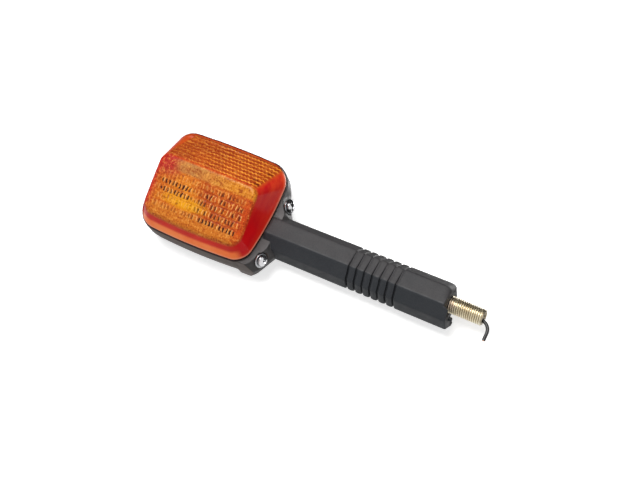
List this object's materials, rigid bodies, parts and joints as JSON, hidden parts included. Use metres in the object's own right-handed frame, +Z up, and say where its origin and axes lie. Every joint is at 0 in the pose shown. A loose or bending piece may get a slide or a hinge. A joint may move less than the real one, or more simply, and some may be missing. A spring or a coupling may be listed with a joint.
{
  "type": "motorcycle turn signal indicator",
  "caption": "Amber turn signal on a grooved flexible rubber stem, with a removable lens, bayonet bulb, slanting screws and a hollow threaded mounting stud.",
  "frame": {"origin": "centre of the stem's mounting face, on the stem's axis", "axes": "+X along the stem out of the mounting face along the stud, -Y the way the lens faces, +Z up"},
  "size_m": [0.2177, 0.048, 0.0651],
  "materials": {
    "lens": "clear amber moulding with prisms",
    "gasket": "matt",
    "housing": "fine satin moulding",
    "reflector": "vacuum plated plastic",
    "glass": "clear",
    "bulb_cap": "bright",
    "filament": "drawn wire",
    "bulb_contact": "black glass with a solder point",
    "socket": "dull",
    "bracket": "zinc plated sheet",
    "insulator": "pressed fibre",
    "spring": "drawn wire",
    "core": "welded steel",
    "nut": "zinc plated",
    "screw": "bright plated",
    "stem_rubber": "satin",
    "stud": "yellow passivated zinc on steel",
    "wire": "extruded insulation"
  },
  "bodies": {
    "stem_base": {"stem_base": "stem_rubber", "stud": "stud", "live_wire_tail": "wire"},
    "stem_middle": {"flex_middle": "stem_rubber", "flex_rear": "stem_rubber", "flex_front": "stem_rubber", "live_wire_flex": "wire"},
    "lamp_head": {"stem_head": "stem_rubber", "stem_bracket": "core", "housing": "housing", "lens_gasket": "gasket", "reflector": "reflector", "bulb_socket": "socket", "socket_bracket": "bracket", "bracket_screw": "bracket", "contact_spring": "spring", "upper_nut": "nut", "lower_nut": "nut", "live_wire_head": "wire", "ground_wire": "wire", "wire_grommet": "gasket"},
    "lens": {"lens": "lens"},
    "contact": {"contact_disc": "insulator", "contact_tip": "socket"},
    "bulb": {"bulb_glass": "glass", "bulb_base": "bulb_cap", "bulb_filament": "filament", "bulb_contact": "bulb_contact"},
    "upper_washer": {"upper_washer": "screw"},
    "upper_screw": {"upper_screw": "screw"},
    "lower_washer": {"lower_washer": "screw"},
    "lower_screw": {"lower_screw": "screw"}
  },
  "joints": [
    {"name": "stem_swing", "type": "hinge", "parent": "stem_base", "child": "stem_middle", "pos_m": [-0.0346, 0, 0], "axis": [0, 0, 1], "range_deg": [-15, 15], "stiffness_Nm_per_rad": 8, "deforming": ["flex_rear"]},
    {"name": "stem_tilt", "type": "hinge", "parent": "stem_middle", "child": "lamp_head", "pos_m": [-0.0542, 0, 0], "axis": [0, 1, 0], "range_deg": [-15, 15], "stiffness_Nm_per_rad": 8, "deforming": ["flex_front"]},
    {"name": "lens_off", "type": "slide", "parent": "lamp_head", "child": "lens", "axis": [0, -1, 0], "range_m": [0, 0.045]},
    {"name": "contact_push", "type": "slide", "parent": "lamp_head", "child": "contact", "axis": [1, 0, 0], "range_m": [0, 0.0015], "stiffness_N_per_m": 900, "springref_m": -0.001, "deforming": ["contact_spring"]},
    {"name": "bulb_twist", "type": "hinge", "parent": "contact", "child": "bulb", "pos_m": [-0.145, -0.009, 0.00755], "axis": [1, 0, 0], "range_deg": [0, 24]},
    {"name": "upper_screw_travel", "type": "slide", "parent": "lamp_head", "child": "upper_washer", "axis": [0.9194, -0.3584, 0.1621], "range_m": [0, 0.014]},
    {"name": "upper_screw_turn", "type": "hinge", "parent": "upper_washer", "child": "upper_screw", "pos_m": [-0.1112, -0.005, 0.018], "axis": [0.9194, -0.3584, 0.1621], "range_deg": [0, 7201]},
    {"name": "lower_screw_travel", "type": "slide", "parent": "lamp_head", "child": "lower_washer", "axis": [0.9194, -0.3584, -0.1621], "range_m": [0, 0.014]},
    {"name": "lower_screw_turn", "type": "hinge", "parent": "lower_washer", "child": "lower_screw", "pos_m": [-0.1112, -0.005, -0.018], "axis": [0.9194, -0.3584, -0.1621], "range_deg": [0, 7201]}
  ],
  "couplings": [
    {"joint": "upper_screw_turn", "follows": "upper_screw_travel", "rad_per_m": 8976},
    {"joint": "lower_screw_turn", "follows": "lower_screw_travel", "rad_per_m": 8976}
  ]
}
